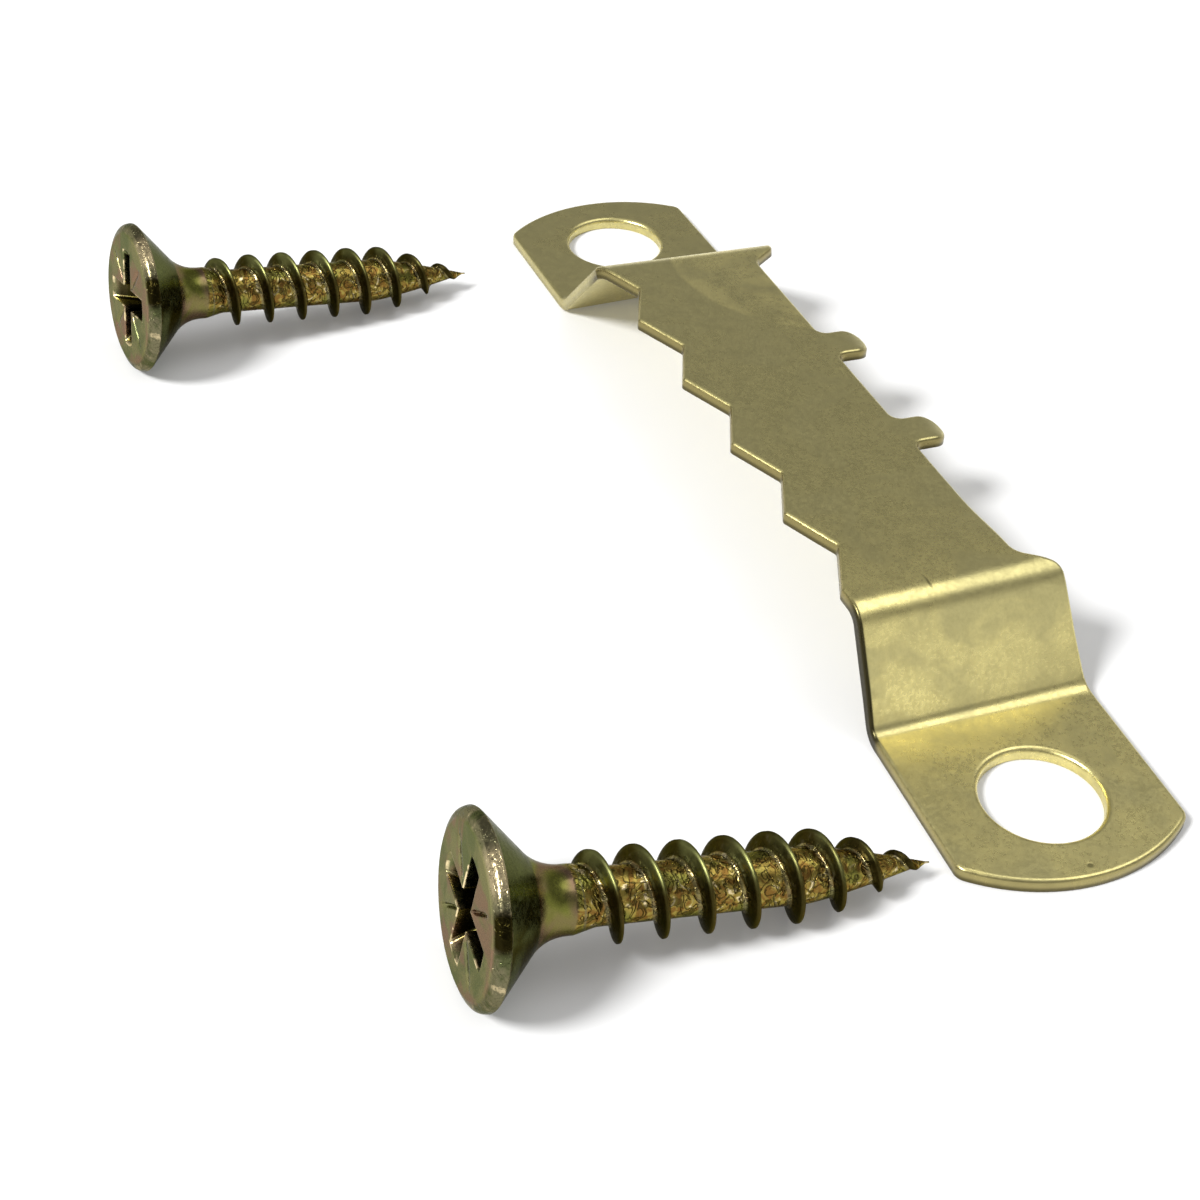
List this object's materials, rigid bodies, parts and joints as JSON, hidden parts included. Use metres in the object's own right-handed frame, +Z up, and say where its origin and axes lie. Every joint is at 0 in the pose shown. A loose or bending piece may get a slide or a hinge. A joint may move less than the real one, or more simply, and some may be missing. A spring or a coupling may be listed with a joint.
{
  "type": "sawtooth picture hanger",
  "caption": "Stamped brass-plated strap with a raised notched bridge between flat drilled ears, with loose countersunk wood screws beside it.",
  "frame": {"origin": "midway between the two screw holes, on the plane of the ears' undersides", "axes": "+X along the strap towards the ear that is nearest in the picture, +Y away from the notched edge, +Z up out of the surface that the ears are screwed to"},
  "size_m": [0.045, 0.0273, 0.0059],
  "materials": {
    "brass_plate": "satin plated steel sheet with rounded stamped edges",
    "yellow_zinc": "iridescent yellow passivated zinc"
  },
  "bodies": {
    "hanger": {"hanger_plate": "brass_plate"},
    "near_screw_body": {"near_screw": "yellow_zinc"},
    "far_screw_body": {"far_screw": "yellow_zinc"}
  },
  "joints": [
    {"name": "near_screw_lift", "type": "slide", "parent": "hanger", "child": "near_screw_body", "axis": [0, 0, 1], "range_m": [0, 0.02]},
    {"name": "far_screw_lift", "type": "slide", "parent": "hanger", "child": "far_screw_body", "axis": [0, 0, 1], "range_m": [0, 0.02]}
  ]
}
